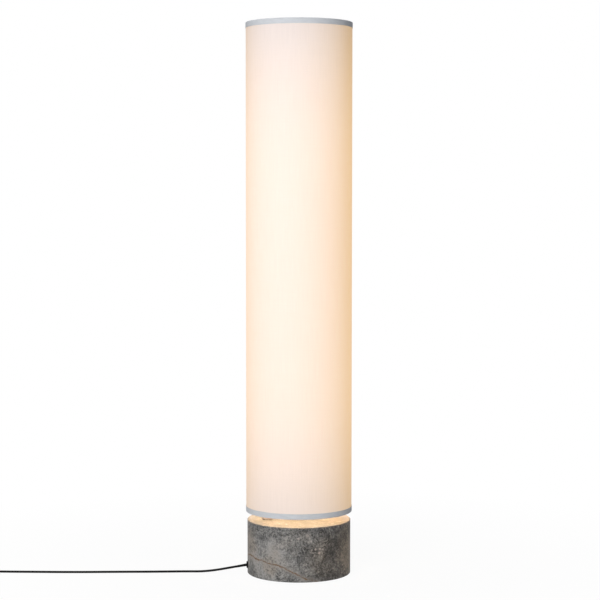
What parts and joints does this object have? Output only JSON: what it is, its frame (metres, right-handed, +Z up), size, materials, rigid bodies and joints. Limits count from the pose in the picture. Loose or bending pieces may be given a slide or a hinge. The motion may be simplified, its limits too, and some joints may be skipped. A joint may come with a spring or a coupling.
{
  "type": "column floor lamp",
  "caption": "Tall round lit fabric shade on a light column over a round marble drum, with a rotary push dimmer, mains cord and plug.",
  "frame": {"origin": "centre of the foot ring's underside, on the floor", "axes": "+Z up the light column, +X to the picture's right, -Y towards the camera"},
  "size_m": [0.8959, 0.2384, 1.2],
  "materials": {
    "marble": "honed",
    "black_steel": "powder coated",
    "felt": "matt felt",
    "zinc_steel": "zinc plated",
    "brass_insert": "turned",
    "white_steel": "satin",
    "white_plastic": "moulded",
    "ivory_plastic": "moulded",
    "black_rubber": "satin",
    "grey_sheath": "matt",
    "black_plastic": "moulded",
    "circuit_board": "laminate",
    "satin_nickel": "satin, turned",
    "aluminium_core": "extruded",
    "led_strip": "populated board",
    "opal_plastic": "opal",
    "liner": "translucent film",
    "cream_fabric": "woven",
    "trim_tape": "woven ribbon",
    "tie_plastic": "matt",
    "nickel_pins": "plated"
  },
  "bodies": {
    "base": {"marble_base": "marble", "bottom_plate": "black_steel", "foot_ring": "felt", "plate_screws": "zinc_steel", "plate_inserts": "brass_insert", "stem_socket": "white_steel", "threaded_rod": "zinc_steel", "rod_washer": "zinc_steel", "rod_nut": "zinc_steel", "socket_screws": "zinc_steel", "led_driver": "white_plastic", "driver_screws": "zinc_steel", "terminal_block": "ivory_plastic", "cord_clamp": "ivory_plastic", "clamp_screws": "zinc_steel", "cord_gland": "black_rubber", "mains_tail": "black_rubber", "dimmer_lead": "grey_sheath", "driver_lead": "grey_sheath", "led_lead": "grey_sheath", "dimmer_housing": "black_plastic", "dimmer_cover": "circuit_board", "dimmer_washer": "zinc_steel", "dimmer_nut": "zinc_steel", "plunger_spring": "zinc_steel", "led_core": "aluminium_core", "led_boards": "led_strip", "diffuser_tube": "opal_plastic", "diffuser_cap_lower": "white_plastic", "diffuser_cap_upper": "white_plastic", "core_cap": "zinc_steel", "mains_cord": "black_rubber", "cord_coil": "black_rubber", "cord_tie": "tie_plastic", "plug_body": "black_rubber", "plug_pins": "nickel_pins"},
    "shade": {"top_frame": "white_steel", "bottom_frame": "white_steel", "shade_liner": "liner", "shade_fabric": "cream_fabric", "top_trim": "trim_tape", "bottom_trim": "trim_tape"},
    "nut_washer": {"nut_washer": "white_plastic"},
    "shade_nut": {"shade_nut": "satin_nickel"},
    "switch_plunger": {"switch_plunger": "white_plastic"},
    "knob": {"dimmer_knob": "satin_nickel", "dimmer_shaft": "zinc_steel", "knob_screw": "zinc_steel"}
  },
  "joints": [
    {"name": "shade_lift", "type": "slide", "parent": "base", "child": "shade", "axis": [0, 0, 1], "range_m": [0, 1.1]},
    {"name": "nut_rise", "type": "slide", "parent": "shade", "child": "nut_washer", "axis": [0, 0, 1], "range_m": [0, 0.01251]},
    {"name": "nut_turn", "type": "hinge", "parent": "nut_washer", "child": "shade_nut", "pos_m": [0, 0, 1.1785], "axis": [0, 0, 1], "range_deg": [0, 3600]},
    {"name": "dimmer_push", "type": "slide", "parent": "base", "child": "switch_plunger", "axis": [0, 0, -1], "range_m": [0, 0.0008], "stiffness_N_per_m": 1500, "springref_m": -0.0015, "deforming": ["plunger_spring"]},
    {"name": "dimmer_turn", "type": "hinge", "parent": "switch_plunger", "child": "knob", "pos_m": [-0.06862, -0.00721, 0.1256], "axis": [0, 0, 1], "range_deg": [0, 300]}
  ],
  "couplings": [
    {"joint": "nut_rise", "follows": "nut_turn", "m_per_rad": 0.00019894}
  ]
}
